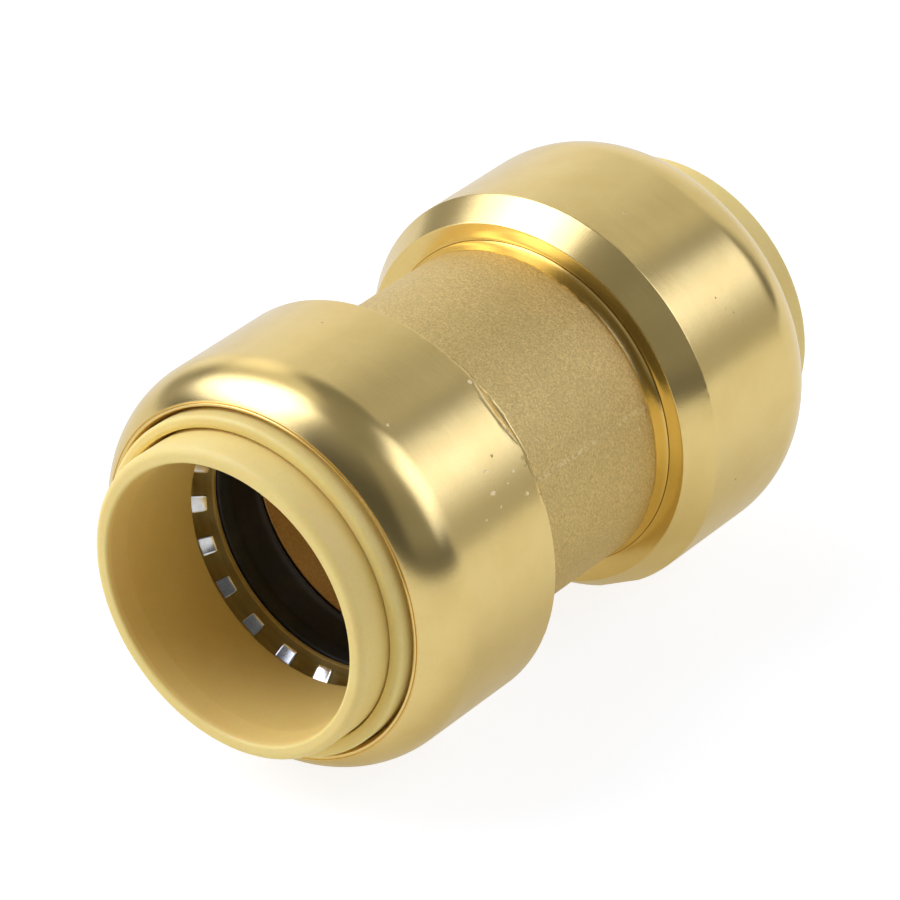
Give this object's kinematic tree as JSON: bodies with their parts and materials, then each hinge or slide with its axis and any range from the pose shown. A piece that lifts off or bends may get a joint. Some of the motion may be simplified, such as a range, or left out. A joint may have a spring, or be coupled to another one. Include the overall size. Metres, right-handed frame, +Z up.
{
  "type": "push to connect fitting",
  "caption": "Straight push to connect coupling: forged brass body with rounded machined caps, sliding plastic release collars, toothed grab rings and rubber seals.",
  "frame": {"origin": "centre of the body, on the tube axis, midway between the two collar rims", "axes": "+Y along the tube axis from the front end to the rear end, +Z up"},
  "size_m": [0.0434, 0.0738, 0.0434],
  "materials": {
    "forged_brass": "as-forged, grit-blasted, fine grain",
    "machined_brass": "machined and polished, satin",
    "tan_plastic": "moulded acetal, satin, slightly translucent",
    "stainless_steel": "stamped, bright",
    "black_rubber": "matte moulded EPDM"
  },
  "bodies": {
    "fitting": {"fitting_body": "forged_brass", "front_end_cap": "machined_brass", "front_guide_ring": "tan_plastic", "front_seat_ring": "tan_plastic", "front_seal_ring": "black_rubber", "rear_end_cap": "machined_brass", "rear_guide_ring": "tan_plastic", "rear_seat_ring": "tan_plastic", "rear_seal_ring": "black_rubber"},
    "front_grip": {"front_grab_ring": "stainless_steel"},
    "front_collar": {"front_release_collar": "tan_plastic"},
    "rear_grip": {"rear_grab_ring": "stainless_steel"},
    "rear_collar": {"rear_release_collar": "tan_plastic"}
  },
  "joints": [
    {"name": "front_grip_turn", "type": "hinge", "parent": "fitting", "child": "front_grip", "pos_m": [0, -0.025, 0], "axis": [0, 1, 0], "continuous": true},
    {"name": "front_collar_press", "type": "slide", "parent": "front_grip", "child": "front_collar", "axis": [0, 1, 0], "range_m": [0, 0.0015], "deforming": ["front_grab_ring"]},
    {"name": "rear_grip_turn", "type": "hinge", "parent": "fitting", "child": "rear_grip", "pos_m": [0, 0.025, 0], "axis": [0, 1, 0], "continuous": true},
    {"name": "rear_collar_press", "type": "slide", "parent": "rear_grip", "child": "rear_collar", "axis": [0, -1, 0], "range_m": [0, 0.0015], "deforming": ["rear_grab_ring"]}
  ]
}
